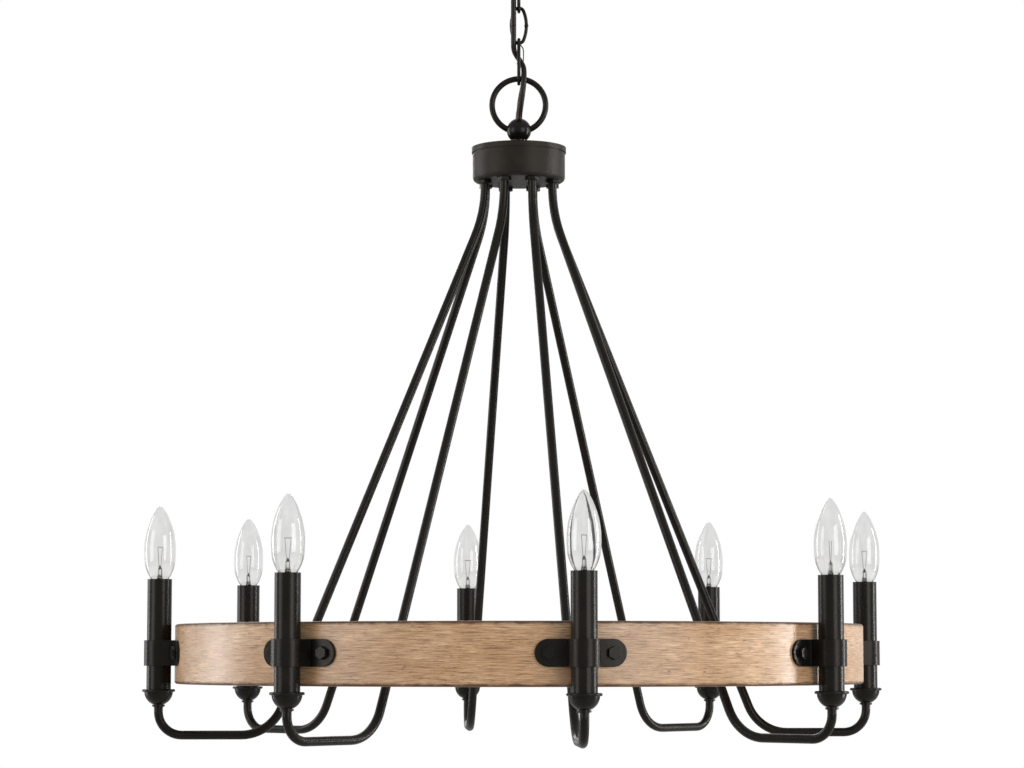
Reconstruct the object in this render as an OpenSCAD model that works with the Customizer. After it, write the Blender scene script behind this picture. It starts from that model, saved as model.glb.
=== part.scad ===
// Wagon wheel chandelier: eight candle lamps on bent arms round a flat wooden rim.
// Millimetres, +Z up. The origin is the middle of the crossbar's top face, on the ceiling.
// The side that faces a viewer at -Y is the front. Heights with no other word are measured
// from the wheel rim's mid-plane, and from_rim() moves them to the ceiling's frame.

/* [Hanging] */
// Play between two pieces of chain that swing on each other
chain_gap = 0.3; // [0.2:0.1:0.8]
// Wire of the chain links
link_wire = 3.8; // [3:0.1:5]
// Width of a chain link over its wire
link_width = 20.4; // [18:0.1:26]
// Centreline radius of a link's round ends
link_end = 5.6; // [5:0.1:7]
// Length of the two upper links
link_length = 43.3; // [36:0.1:60]
// Length of the lowest link, which holds the hanging ring
long_link_length = 53.4; // [40:0.1:70]

/* [Ceiling plate] */
// Outer radius of the canopy
canopy_r = 63.5; // [55:0.5:75]
// Wall of the canopy
canopy_wall = 1.2; // [0.8:0.1:2]
// Round at the canopy's lower edge
canopy_round = 8; // [3:0.5:12]
// Depth of the canopy
canopy_depth = 27; // [22:1:40]
// Length of the crossbar
bar_length = 110; // [100:1:118]
// Width of the crossbar
bar_width = 20; // [16:1:26]
// Thickness of the crossbar
bar_thick = 2.5; // [1.5:0.1:4]
// Distance between the crossbar's two slots
slot_spacing = 88.9; // [69.85:0.05:101.6]
// Width of a slot
slot_width = 5; // [4:0.1:6]
// End to end length of a slot
slot_length = 14; // [8:0.5:18]
// Outer radius of the threaded pipes
pipe_r = 5; // [4.5:0.1:6]
// Bore radius of the threaded pipes and of the wire ways
wire_way_r = 3.9; // [3.9:0.1:4.2]
// Wire of the loop under the canopy
eye_wire = 5; // [4:0.1:6]
// Centreline radius of the loop under the canopy
eye_r = 14.5; // [12:0.5:20]
// Canopy's foot above the middle of the loop's eye
loop_rise = 27.9; // [24:0.1:40]
// Radius of the loop's threaded barrel
barrel_r = 9; // [8:0.1:11]
// Outer radius of the collar that lifts the canopy
collar_r = 14.5; // [12:0.5:18]

/* [Hub] */
// Height of the hub's flat underside
hub_floor = 517.2; // [480:0.1:560]
// Depth of the hub, from its underside to its flat top
hub_depth = 37.8; // [32:0.1:50]
// Outside diameter of the hanging ring
ring_od = 65.5; // [50:0.5:80]
// Wire of the hanging ring
ring_wire = 6.5; // [5:0.1:9]
// Middle of the ring's wire at its foot, below the ball's middle
ring_sink = 1.25; // [0:0.05:3]
// How far each end of the ring stays from the ball's axis
ring_end = 6.4; // [6:0.1:8]
// Radius of the ball at the ring's foot
ball_r = 13.6; // [11:0.1:16]
// Ball's middle above the hub's top
ball_rise = 19.6; // [17:0.1:24]
// Flat top of the ball above its middle
ball_flat = 12.6; // [11:0.1:13.5]
// Radius of the ball's neck
neck_r = 8.5; // [7:0.1:10]
// Outer radius of the hub's lid
lid_r = 52; // [45:0.5:60]
// Wall of the lid
lid_wall = 1.1; // [0.8:0.1:2]
// Depth of the lid's rim
lid_rim = 5.8; // [3:0.1:10]
// Outer radius of the hub can
can_r = 50.8; // [44:0.1:58]
// Wall of the hub can
can_wall = 1.5; // [1:0.1:2.5]
// Round at the can's lower edge
can_round = 5; // [2:0.5:8]

/* [Arms] */
// Number of arms and candles
arms = 8; // [8]
// Turn of the first candle from the front, to the right
first_arm = 9.25; // [0:0.25:44]
// Outer radius of an arm's tube
arm_r = 4.75; // [4:0.05:6]
// Bore radius of an arm's tube
arm_bore = 3.6; // [3:0.05:4.5]
// From the hub can's outside in to where an arm leaves it
arm_inset = 11.8; // [11:0.1:16]
// Where an arm leaves the hub, sideways from its candle's line
arm_top_side = 8.45; // [0:0.05:12]
// Upper bend's corner point below the hub
arm_drop = 35.2; // [20:0.1:60]
// Length of the bottom run, from the lower bend's corner point out to the candle
run_length = 118; // [95:0.5:135]
// Where the lower bend's corner point lies, sideways
bend_low_side = 13.5; // [0:0.5:18]
// Height of the arm's bottom run
run_z = -85.8; // [-100:0.1:-70]
// Radius of the upper bend
bend_top = 147; // [60:1:150]
// Radius of the lower bend
bend_low = 46; // [30:1:70]
// Radius of the bend under the candle
bend_out = 25; // [14:0.5:30]
// Width across flats of the arm nuts
arm_nut = 13.6; // [12:0.1:16]
// Height of the arm nuts
arm_nut_h = 4.2; // [3:0.1:6]
// How far an arm's ends stand past their nuts
arm_past = 1.3; // [0.5:0.1:3]

/* [Candles] */
// Gap between the rim and the candle sleeves
candle_gap = 4; // [2:0.1:10]
// Outer radius of a candle sleeve
sleeve_r = 13; // [11:0.1:15]
// Wall of a candle sleeve
sleeve_wall = 0.8; // [0.5:0.1:1.5]
// Height of a sleeve's top
sleeve_top = 79.4; // [60:0.1:100]
// Height of a sleeve's foot, in its cup
sleeve_foot = -43; // [-50:0.5:-40]
// How far the cup's rolled lip stands out past the sleeve
lip_out = 4.5; // [3:0.1:7]
// Radius of the lip's round
lip_round = 1.5; // [1:0.1:2]
// Lip's middle above the sleeve's foot
lip_rise = 4.3; // [3:0.1:8]
// How far the cup's bowl stands out past the sleeve
bowl_out = 2.2; // [1.5:0.1:4]
// Bowl's foot below the sleeve's foot
bowl_drop = 10; // [8:0.1:12]
// Radius of the neck collar under the cup
knob_r = 6.8; // [6:0.1:9]
// Wall of the lamp socket
socket_wall = 3.6; // [2:0.1:3.8]
// Height of the lamp socket
socket_height = 30; // [26:0.5:40]
// Top of the lamp socket below the sleeve's top
socket_inset = 7.4; // [3:0.1:12]

/* [Bulbs] */
// Radius of the bulb's screw base
base_r = 5.9; // [5.5:0.05:6.2]
// Play between the bulb's base and the socket's screw shell
base_gap = 0.3; // [0.1:0.05:0.5]
// Length of the bulb's base, from its foot contact up to the glass
base_length = 21.4; // [20:0.1:24]
// Glass of the bulb above the socket's top
glass_rise = 0.9; // [0.5:0.1:3]
// Glass wall
glass = 0.6; // [0.4:0.1:1]
// Outline of the bulb's glass: radius, and height above the glass's foot
bulb_line = [[6.3, 0.5], [7.1, 3.4], [9.1, 6.3], [11.6, 10.2], [13.9, 15.4], [15.9, 22],
             [16.6, 30], [16.7, 39.9], [15.8, 49.4], [13.9, 58.9], [11.2, 67], [8.4, 73.9],
             [5.6, 79.1], [3.3, 82.2], [1.7, 83.9], [0, 84.4]];
// Height of the filament above the glass's foot
filament_rise = 40.5; // [34:0.1:46]
// Half length of the filament
filament_half = 3.3; // [2:0.1:5]
// Distance from the bulb's axis to each support wire
wire_off = 1.3; // [1:0.1:2]
// Height of the glass stem inside the bulb
stem_height = 19; // [14:0.5:24]

/* [Rim] */
// Outer radius of the wooden rim
rim_r = 371; // [350:0.5:380]
// Thickness of the rim
rim_thick = 16; // [10:0.5:25]
// Height of the rim
rim_height = 63.6; // [50:0.1:80]
// Round at the rim's edges
rim_round = 3; // [1:0.1:6]
// Candle behind which the rim's two halves meet
seam_arm = 1; // [0:1:3]

/* [Clamps] */
// Height of a clamp's band
clamp_height = 27; // [20:0.5:32]
// Height of the band's middle
clamp_z = 1; // [-5:0.5:5]
// Thickness of the band
clamp_thick = 2.8; // [2:0.1:4]
// Play between the band and its sleeve
clamp_gap = 0.1; // [0.05:0.05:0.3]
// Distance between a clamp's two bolts
bolt_spacing = 63; // [50:0.5:75]
// Width across flats of a bolt's head
bolt_head = 11.5; // [10:0.1:14]
// Radius of a bolt's shank
bolt_r = 3; // [2:0.1:4]

/* [Cord] */
// Diameter of the supply cord
cord_d = 6; // [5:0.1:6]
// Diameter of the earth wire that runs beside it
earth_d = 1.4; // [1:0.1:1.4]

/* [Hidden] */
$fn = 48;
step = 360 / arms;
arm_at = [for (i = [0 : arms - 1]) first_arm - 90 + i * step];
arm_names = ["arm_1", "arm_2", "arm_3", "arm_4", "arm_5", "arm_6", "arm_7", "arm_8"];
glass_names = ["bulb_glass_1", "bulb_glass_2", "bulb_glass_3", "bulb_glass_4",
               "bulb_glass_5", "bulb_glass_6", "bulb_glass_7", "bulb_glass_8"];
base_names = ["bulb_base_1", "bulb_base_2", "bulb_base_3", "bulb_base_4",
              "bulb_base_5", "bulb_base_6", "bulb_base_7", "bulb_base_8"];

// hub and ring, stacked upwards from the hub's underside
hub_top = hub_floor + hub_depth;
ball_centre = hub_top + ball_rise;
ring_r = (ring_od - ring_wire) / 2;
ring_centre = ball_centre - ring_sink + ring_r;
ring_cut = asin(ring_end / ring_r);
stem_in = 8;
stem_foot = hub_top - 14;
bridge_t = 2.4;
bridge_z = hub_top - lid_wall - bridge_t;
bridge_r = can_r - can_wall - 0.05;
block_r = 11;
block_top = stem_foot - 0.5;
block_foot = block_top - 15.5;
lead_z = block_top - 7.5;
lead_r = 2;

// the chain, stacked upwards from the hanging ring: outer foot of each link
wire_r = link_wire / 2;
low_z = ring_centre + ring_od / 2 - ring_wire - chain_gap - link_wire;
mid_z = low_z + long_link_length - link_wire - chain_gap - link_wire;
up_z = mid_z + link_length - link_wire - chain_gap - link_wire;
eye_z = up_z + link_length - link_wire - chain_gap - eye_wire / 2 + eye_r;
canopy_z = eye_z + loop_rise;
// ceiling to the wheel rim's mid-plane
hang_height = canopy_z + canopy_depth;
nipple_in = 8;
barrel_past = 5;
barrel_foot = eye_z + eye_r - 2.1;
barrel_top = canopy_z + barrel_past;
collar_h = 6;

// candles, placed from the rim
candle_circle = rim_r + candle_gap + sleeve_r;
lip_r = sleeve_r + lip_out;
lip_z = sleeve_foot + lip_rise;
bowl_r = sleeve_r + bowl_out;
bowl_foot = sleeve_foot - bowl_drop;
shell_t = 0.4;
shell_r = base_r + base_gap + shell_t;
socket_r = shell_r + socket_wall;
socket_top = sleeve_top - socket_inset;
socket_foot = socket_top - socket_height;
glass_z = socket_top + glass_rise;
base_z = glass_z - base_length;
wire_hole = 0.45;
contact_z = base_z - 1.5;
bracket_t = 1.2;
bracket_width = 6;
cup_nut_h = 4;

arm_top_r = can_r - arm_inset;
side = atan2(arm_top_side, arm_top_r);
arm_line = [[arm_top_r, arm_top_side, hub_floor + can_wall + arm_nut_h + arm_past],
            [arm_top_r, arm_top_side, hub_floor - arm_drop],
            [candle_circle - run_length, bend_low_side, run_z], [candle_circle, 0, run_z],
            [candle_circle, 0, sleeve_foot + bracket_t + cup_nut_h + arm_past]];
lead_line = [[(block_r + 0.1) * cos(side), (block_r + 0.1) * sin(side), lead_z],
             [arm_top_r, arm_top_side, lead_z], arm_line[1], arm_line[2], arm_line[3],
             [candle_circle, 0, socket_foot - 0.1]];
// the nut inside the can clears the round at the can's edge
inner_nut = 2 * (can_r - can_round - norm([arm_top_r, arm_top_side]) - 0.1);
bolt_turn = asin(bolt_spacing / 2 / rim_r);
ear_r = rim_r + clamp_thick;
rim_in = rim_r - rim_thick;
washer_t = 1.2;
nut_t = 5;

// hand-chosen points of the cord and of the earth wire, heights from the lowest link's foot
cord_foot = block_top + 0.1 - low_z;
cord_head = hang_height - 0.5 - low_z;
cord_points = [[0.7, 0, cord_foot], [0.7, 0, -69], [0.7, 0, -53], [0.7, 0, -39],
               [1.1, -1.4, -31], [2.7, -5, -20], [4.4, -7.1, -8], [5.5, -7.5, 3],
               [5.7, -6.2, 12], [5.1, -3.4, 19.5], [2.6, -0.8, 25.5], [-0.6, 0.1, 30.5],
               [-3.8, -0.9, 35.5], [-5.5, -3.2, 40.5], [-5.8, -5.5, 47], [-5.8, -5.7, 59],
               [-5.8, -5.6, 75], [-5.8, -5.7, 91], [-5.8, -6, 107], [-5.6, -6.1, 118],
               [-4.4, -4.6, 126.5], [-2.1, -2.3, 133.5], [0.1, -0.6, 139.5], [0.7, 0, 146],
               [0.7, 0, 159], [0.7, 0, 173], [0.7, 0, cord_head]];
earth_points = [[-3.1, 0, cord_foot], [-3.1, 0, -69], [-3.1, 0, -53], [-3.1, 0, -39],
                [-2.7, -0.4, -33], [-1.7, -1.1, -26], [-1, -2.6, -19], [1, -4.2, -8],
                [2.8, -4.5, 1], [3, -4.2, 7], [3.1, -2.8, 11.5], [3.7, 0.8, 18], [4.9, 3.4, 27],
                [5.2, 4.2, 35], [4.8, 6, 42], [2.2, 8.5, 46.6], [-1.8, 8.6, 47.8],
                [-5.2, 6.4, 52], [-5.8, 4.4, 60], [-5.7, 4.2, 79], [-5.8, 4.3, 99],
                [-5.7, 4.3, 115], [-4.9, 3.2, 125], [-3.9, 1.5, 135], [-3.3, 0.3, 143],
                [-3.1, 0, 151], [-3.1, 0, 167], [-3.1, 0, cord_head]];

// ---------- helpers ----------

module from_rim() {
    translate([0, 0, -hang_height]) children();
}

// places children at one arm: +X points outwards through the candle
module at_arm(i) {
    from_rim() rotate([0, 0, arm_at[i]]) children();
}

module at_candle(i) {
    at_arm(i) translate([candle_circle, 0, 0]) children();
}

module each_arm() {
    for (i = [0 : arms - 1]) at_arm(i) children();
}

module each_candle() {
    for (i = [0 : arms - 1]) at_candle(i) children();
}

module pipe(ro, ri, z0, z1) {
    translate([0, 0, z0]) difference() {
        cylinder(r = ro, h = z1 - z0);
        translate([0, 0, -1]) cylinder(r = ri, h = z1 - z0 + 2);
    }
}

module hex_nut(flats, height, hole) {
    difference() {
        cylinder(r = flats / sqrt(3), h = height, $fn = 6);
        translate([0, 0, -1]) cylinder(r = hole, h = height + 2);
    }
}

function unit(v) = v / norm(v);
function turn(a, b, c) = acos(unit(b - a) * unit(c - b));
function trim(a, b, c, r) = r * tan(turn(a, b, c) / 2);
function across(d) = unit(abs(d.x) < 0.9 ? cross([1, 0, 0], d) : cross([0, 1, 0], d));

// a frame at p whose axes are the unit vectors u, v and w
module framed(p, u, v, w) {
    multmatrix([[u.x, v.x, w.x, p.x], [u.y, v.y, w.y, p.y], [u.z, v.z, w.z, p.z], [0, 0, 0, 1]])
        children();
}

// a low collar that ties two pieces of rod where they meet
module tie(p, d, r) {
    u = across(d);
    framed(p, u, cross(d, u), d) cylinder(r = r + 0.03, h = 0.3, center = true);
}

module straight(a, b, r) {
    d = unit(b - a);
    u = across(d);
    framed(a, u, cross(d, u), d) cylinder(r = r, h = norm(b - a));
}

module bend(a, b, c, bend_r, r) {
    d = unit(b - a);
    e = unit(c - b);
    n = unit(e - d * (d * e));
    t = trim(a, b, c, bend_r);
    framed(b - d * t + n * bend_r, -n, d, cross(-n, d))
        rotate_extrude(angle = turn(a, b, c)) translate([bend_r, 0]) circle(r = r);
    tie(b - d * t, d, r);
    tie(b + e * t, e, r);
}

// a rod along corner points, with a bend radius at each inner corner; past lengthens both ends
module rod(p, radii, r, past) {
    n = len(p);
    for (i = [0 : n - 2]) {
        d = unit(p[i + 1] - p[i]);
        s = i == 0 ? -past : trim(p[i - 1], p[i], p[i + 1], radii[i - 1]);
        e = i == n - 2 ? -past : trim(p[i], p[i + 1], p[i + 2], radii[i]);
        straight(p[i] + d * s, p[i + 1] - d * e, r);
    }
    for (i = [1 : n - 2]) bend(p[i - 1], p[i], p[i + 1], radii[i - 1], r);
}

// an oval link in the XZ plane, its outer foot at z = 0
module link(length) {
    half = length / 2 - wire_r;
    wide = link_width / 2 - wire_r;
    up = half - link_end;
    rs = (wide * wide + up * up - link_end * link_end) / (2 * (wide - link_end));
    lean = atan2(up, rs - wide);
    translate([0, 0, length / 2]) rotate([90, 0, 0]) {
        for (s = [0, 180]) rotate([0, 0, s]) {
            translate([0, up, 0]) rotate([0, 0, lean])
                rotate_extrude(angle = 180 - 2 * lean) translate([link_end, 0])
                    circle(r = wire_r);
            translate([wide - rs, 0, 0]) rotate([0, 0, -lean])
                rotate_extrude(angle = 2 * lean) translate([rs, 0]) circle(r = wire_r);
            for (k = [-1, 1])
                tie([wide - rs + rs * cos(lean), k * rs * sin(lean), 0],
                    [-k * sin(lean), cos(lean), 0], wire_r);
        }
        translate([wide, 0, 0]) sphere(r = wire_r + 0.5);
    }
}

// a smooth line through points, with some points between each two
function smooth(p, n) = concat([for (i = [0 : len(p) - 2]) for (k = [0 : n - 1])
    let (t = k / n, a = p[max(i - 1, 0)], b = p[i], c = p[i + 1], d = p[min(i + 2, len(p) - 1)])
    0.5 * (2 * b + (c - a) * t + (2 * a - 5 * b + 4 * c - d) * t * t
           + (3 * b - a - 3 * c + d) * t * t * t)], [p[len(p) - 1]]);
function along(q, i) = unit(q[min(i + 1, len(q) - 1)] - q[max(i - 1, 0)]);
function level(v, d) = unit(v - d * (v * d));
function carried(q, i = 0, v = [1, 0, 0]) = i == len(q) ? [] :
    let (u = level(v, along(q, i))) concat([u], carried(q, i + 1, u));

// a tube swept along the points q as one closed mesh
module swept(q, r, sides) {
    n = len(q);
    u = carried(q);
    points = [for (i = [0 : n - 1]) let (w = cross(along(q, i), u[i]))
              for (k = [0 : sides - 1]) q[i] + r * (cos(360 * k / sides) * u[i]
                                                  + sin(360 * k / sides) * w)];
    walls = [for (i = [0 : n - 2]) for (k = [0 : sides - 1]) let (m = (k + 1) % sides)
             [i * sides + k, (i + 1) * sides + k, (i + 1) * sides + m, i * sides + m]];
    foot = [for (k = [0 : sides - 1]) k];
    head = [for (k = [sides - 1 : -1 : 0]) (n - 1) * sides + k];
    polyhedron(points = points, faces = concat(walls, [foot], [head]), convexity = 8);
}

// ---------- at the ceiling ----------

module slot(x) {
    translate([x, 0, -bar_thick - 1]) linear_extrude(bar_thick + 2) union() {
        square([slot_length - slot_width, slot_width], center = true);
        for (s = [-1, 1]) translate([s * (slot_length - slot_width) / 2, 0])
            circle(r = slot_width / 2);
    }
}

module crossbar() color("silver") difference() {
    translate([-bar_length / 2, -bar_width / 2, -bar_thick])
        cube([bar_length, bar_width, bar_thick]);
    for (s = [-1, 1]) slot(s * slot_spacing / 2);
    translate([0, 0, -bar_thick - 1]) cylinder(r = pipe_r + 0.05, h = bar_thick + 2);
    translate([-22, 0, -bar_thick - 1]) cylinder(r = 2.05, h = bar_thick + 2);
}

module threaded_nipple() color("goldenrod") from_rim()
    pipe(pipe_r, wire_way_r, canopy_z - nipple_in, hang_height);

module nipple_nuts() color("goldenrod") {
    translate([0, 0, -bar_thick - 3]) hex_nut(15, 3, pipe_r + 0.05);
    from_rim() translate([0, 0, canopy_z + barrel_past]) hex_nut(15, 3, pipe_r + 0.05);
}

module ground_screw() color("green") translate([-22, 0, -bar_thick]) {
    cylinder(r = 2, h = bar_thick);
    difference() {
        translate([0, 0, -3.2]) cylinder(r = 4.4, h = 3.2);
        translate([-5, -0.6, -3.7]) cube([10, 1.2, 1.5]);
    }
}

// a round pan with a rounded lower edge, from z = 0 up to its open top
module pan(r, depth, wall, round) {
    module half(r, round, z) {
        translate([0, z]) square([r - round, depth - z + 0.01]);
        translate([0, z + round]) square([r, depth - z - round + 0.01]);
        translate([r - round, z + round]) circle(r = round);
    }
    rotate_extrude() intersection() {
        difference() {
            half(r, round, 0);
            half(r - wall, round - wall, wall);
        }
        square([r + 1, depth]);
    }
}

module canopy() color("dimgray") from_rim() translate([0, 0, canopy_z]) difference() {
    pan(canopy_r, canopy_depth, canopy_wall, canopy_round);
    translate([0, 0, -1]) cylinder(r = barrel_r + 0.2, h = canopy_wall + 2);
}

module screw_collar() color("dimgray") from_rim() translate([0, 0, canopy_z]) difference() {
    union() {
        translate([0, 0, -collar_h]) cylinder(r = collar_r, h = collar_h);
        translate([0, 0, -collar_h - 2]) cylinder(r = collar_r - 2.2, h = 2.5);
    }
    translate([0, 0, -collar_h - 3]) cylinder(r = barrel_r + 0.05, h = collar_h + 4);
}

module canopy_loop() color("dimgray") from_rim() difference() {
    union() {
        translate([0, 0, eye_z]) rotate([90, 0, 0]) rotate_extrude()
            translate([eye_r, 0]) circle(r = eye_wire / 2);
        translate([0, 0, barrel_foot]) cylinder(r = barrel_r, h = barrel_top - barrel_foot);
    }
    translate([0, 0, eye_z]) cylinder(r = wire_way_r + 0.2, h = barrel_top - eye_z + 1);
    translate([0, 0, canopy_z - nipple_in - 0.1])
        cylinder(r = pipe_r + 0.05, h = nipple_in + barrel_past + 1);
}

// ---------- chain and cord ----------

module chain_link_upper() color("dimgray") from_rim()
    translate([0, 0, up_z]) rotate([0, 0, 90]) link(link_length);

module chain_link_middle() color("dimgray") from_rim() translate([0, 0, mid_z])
    link(link_length);

module chain_link_lower() color("dimgray") from_rim()
    translate([0, 0, low_z]) rotate([0, 0, 90]) link(long_link_length);

module supply_cord() color("saddlebrown") from_rim() translate([0, 0, low_z])
    swept(smooth(cord_points, 3), cord_d / 2, 10);

module earth_wire() color("peru") from_rim() translate([0, 0, low_z])
    swept(smooth(earth_points, 2), earth_d / 2, 8);

// ---------- hub ----------

// the ring's bent rod, open for an angle of cut on both sides of its foot
module ring_rod(cut, r) {
    translate([0, 0, ring_centre]) rotate([90, 0, 0]) rotate([0, 0, cut - 90])
        rotate_extrude(angle = 360 - 2 * cut) translate([ring_r, 0]) circle(r = r);
}

module hanging_ring() color("dimgray") from_rim() ring_rod(ring_cut, ring_wire / 2);

module ring_ball() color("dimgray") from_rim() difference() {
    union() {
        intersection() {
            translate([0, 0, ball_centre]) sphere(r = ball_r);
            translate([-ball_r, -ball_r, hub_top])
                cube([2 * ball_r, 2 * ball_r, ball_rise + ball_flat]);
        }
        translate([0, 0, hub_top]) cylinder(r = neck_r, h = ball_rise - ball_r / 2);
    }
    translate([0, 0, hub_top - 1]) cylinder(r = wire_way_r + 0.2, h = ball_rise + ball_r + 2);
    translate([0, 0, hub_top - 1]) cylinder(r = pipe_r + 0.05, h = stem_in + 1);
    ring_rod(ring_cut - 0.1, ring_wire / 2 + 0.05);
}

module hub_lid() color("dimgray") from_rim() difference() {
    translate([0, 0, hub_top - lid_rim]) cylinder(r = lid_r, h = lid_rim);
    translate([0, 0, hub_top - lid_rim - 1])
        cylinder(r = lid_r - lid_wall, h = lid_rim - lid_wall + 1);
    translate([0, 0, hub_top - 5]) cylinder(r = pipe_r + 0.1, h = 10);
}

module hub_can() color("dimgray") from_rim() difference() {
    translate([0, 0, hub_floor])
        pan(can_r, hub_top - lid_wall - hub_floor, can_wall, can_round);
    for (i = [0 : arms - 1]) rotate([0, 0, arm_at[i]])
        translate([arm_top_r, arm_top_side, hub_floor - 1]) cylinder(r = arm_r + 0.05, h = 4);
}

module hub_bridge() color("silver") from_rim() difference() {
    intersection() {
        cylinder(r = bridge_r, h = hub_top);
        union() {
            translate([-can_r, -9, bridge_z]) cube([2 * can_r, 18, bridge_t]);
            for (s = [-1, 1]) translate([s * (bridge_r - 1.3) - bridge_t / 2, -9, bridge_z - 10])
                cube([bridge_t, 18, 10.5]);
        }
    }
    translate([0, 0, bridge_z - 1]) cylinder(r = pipe_r + 0.1, h = 5);
}

module hub_stem() color("goldenrod") from_rim()
    pipe(pipe_r, wire_way_r, stem_foot, hub_top + stem_in);

module stem_nut() color("goldenrod") from_rim() translate([0, 0, bridge_z - 4])
    hex_nut(15, 4, pipe_r + 0.05);

module splice_block() color("beige") from_rim() difference() {
    translate([0, 0, block_foot]) cylinder(r = block_r, h = block_top - block_foot);
    for (s = [-1, 1]) translate([s * 5, 0, block_foot - 1]) cylinder(r = 2, h = 4);
}

// ---------- arms ----------

module arm(i) color("dimgray") at_arm(i) difference() {
    rod(arm_line, [bend_top, bend_low, bend_out], arm_r, 0);
    rod(arm_line, [bend_top, bend_low, bend_out], arm_bore, 1);
}

module arm_nuts() color("gray") each_arm() translate([arm_top_r, arm_top_side, hub_floor]) {
    translate([0, 0, -arm_nut_h]) rotate([0, 0, 15]) hex_nut(arm_nut, arm_nut_h, arm_r + 0.05);
    translate([0, 0, can_wall]) rotate([0, 0, side + 30])
        hex_nut(inner_nut, arm_nut_h, arm_r + 0.05);
}

module socket_leads() color("white") each_arm()
    rod(lead_line, [6, bend_top, bend_low, bend_out], lead_r, 0);

// ---------- candles ----------

module neck_collars() color("dimgray") each_candle() {
    pipe(knob_r, arm_r + 0.05, bowl_foot - 2.6, bowl_foot - 0.6);
    pipe(knob_r - 1.3, arm_r + 0.05, bowl_foot - 3.2, bowl_foot);
}

module candle_cups() color("dimgray") each_candle() difference() {
    union() {
        translate([0, 0, lip_z]) rotate_extrude()
            translate([lip_r - lip_round, 0]) circle(r = lip_round);
        translate([0, 0, lip_z - lip_round]) cylinder(r = lip_r - lip_round, h = 2 * lip_round);
        intersection() {
            translate([0, 0, lip_z - 0.6]) sphere(r = bowl_r);
            translate([-bowl_r, -bowl_r, bowl_foot])
                cube([2 * bowl_r, 2 * bowl_r, lip_z - bowl_foot]);
        }
    }
    translate([0, 0, sleeve_foot]) cylinder(r = sleeve_r + 0.05, h = lip_rise + lip_round + 1);
    translate([0, 0, bowl_foot - 1]) cylinder(r = arm_r + 0.05, h = bowl_drop + 2);
}

module cup_nuts() color("goldenrod") each_candle()
    translate([0, 0, sleeve_foot + bracket_t]) hex_nut(14, cup_nut_h, arm_r + 0.05);

module socket_brackets() color("silver") each_candle() difference() {
    union() {
        translate([0, 0, sleeve_foot]) cylinder(r = 9, h = bracket_t);
        translate([0, -bracket_width / 2, sleeve_foot])
            cube([socket_r + bracket_t, bracket_width, bracket_t]);
        translate([socket_r, -bracket_width / 2, sleeve_foot])
            cube([bracket_t, bracket_width, socket_foot + 8 - sleeve_foot]);
    }
    translate([0, 0, sleeve_foot - 1]) cylinder(r = arm_r + 0.05, h = 4);
}

module lamp_sockets() color("black") each_candle() difference() {
    translate([0, 0, socket_foot]) cylinder(r = socket_r, h = socket_height);
    translate([0, 0, contact_z]) cylinder(r = shell_r, h = socket_height);
}

module socket_shells() color("gold") each_candle() {
    pipe(shell_r, shell_r - shell_t, base_z + 2, socket_top - 2);
    translate([0, 0, contact_z]) cylinder(r = 2.5, h = 1.2);
}

module candle_sleeves() color("dimgray") each_candle()
    pipe(sleeve_r, sleeve_r - sleeve_wall, sleeve_foot, sleeve_top);

// ---------- bulbs ----------

module bulb_glass(i) color("lightcyan") at_candle(i) translate([0, 0, glass_z]) {
    n = len(bulb_line);
    tip = bulb_line[n - 1][1];
    neck = bulb_line[0][0];
    inner = [for (k = [n - 3 : -1 : 0]) [bulb_line[k][0] - glass, bulb_line[k][1]]];
    rotate_extrude() polygon(concat(bulb_line, [[0, tip - 2 * glass]], inner,
                                    [[neck - 1.9, 0], [neck, 0]]));
    difference() {
        union() {
            cylinder(r1 = 2 * wire_off + 2, r2 = 2 * wire_off, h = stem_height - 7);
            translate([0, 0, stem_height - 7]) cylinder(r = 2 * wire_off, h = 7);
            cylinder(r = base_r, h = 0.8);
        }
        for (s = [-1, 1]) translate([s * wire_off, 0, -1])
            cylinder(r = wire_hole, h = stem_height + 2);
    }
}

module bulb_base(i) color("goldenrod") at_candle(i) translate([0, 0, glass_z]) {
    difference() {
        translate([0, 0, 3 - base_length]) cylinder(r = base_r, h = base_length - 3);
        translate([0, 0, 6 - base_length]) cylinder(r = base_r - 0.5, h = base_length);
    }
    translate([0, 0, 1 - base_length]) cylinder(r1 = 3, r2 = base_r, h = 2);
    translate([0, 0, -base_length]) cylinder(r = 2.4, h = 1);
    for (s = [-1, 1]) {
        translate([s * wire_off, 0, 5.5 - base_length])
            cylinder(r = wire_hole - 0.05, h = stem_height + 0.6 + base_length - 5.5);
        straight([s * wire_off, 0, stem_height + 0.1], [s * filament_half, 0, filament_rise], 0.3);
    }
    translate([-filament_half - 0.3, 0, filament_rise]) rotate([0, 90, 0])
        cylinder(r = wire_hole, h = 2 * filament_half + 0.6);
}

// ---------- rim and clamps ----------

module rim_half(turned) from_rim() rotate([0, 0, arm_at[seam_arm] + turned]) difference() {
    rotate_extrude(angle = 180) translate([rim_in, -rim_height / 2]) union() {
        translate([rim_round, 0]) square([rim_thick - 2 * rim_round, rim_height]);
        translate([0, rim_round]) square([rim_thick, rim_height - 2 * rim_round]);
        for (x = [rim_round, rim_thick - rim_round], y = [rim_round, rim_height - rim_round])
            translate([x, y]) circle(r = rim_round);
    }
    for (i = [0 : arms / 2], s = [-1, 1]) rotate([0, 0, i * step + s * bolt_turn])
        translate([rim_in - 5, 0, clamp_z]) rotate([0, 90, 0])
            cylinder(r = bolt_r + 0.2, h = rim_thick + 10);
}

module rim_half_right() color("tan") rim_half(0);
module rim_half_left() color("tan") rim_half(-180);

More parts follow.
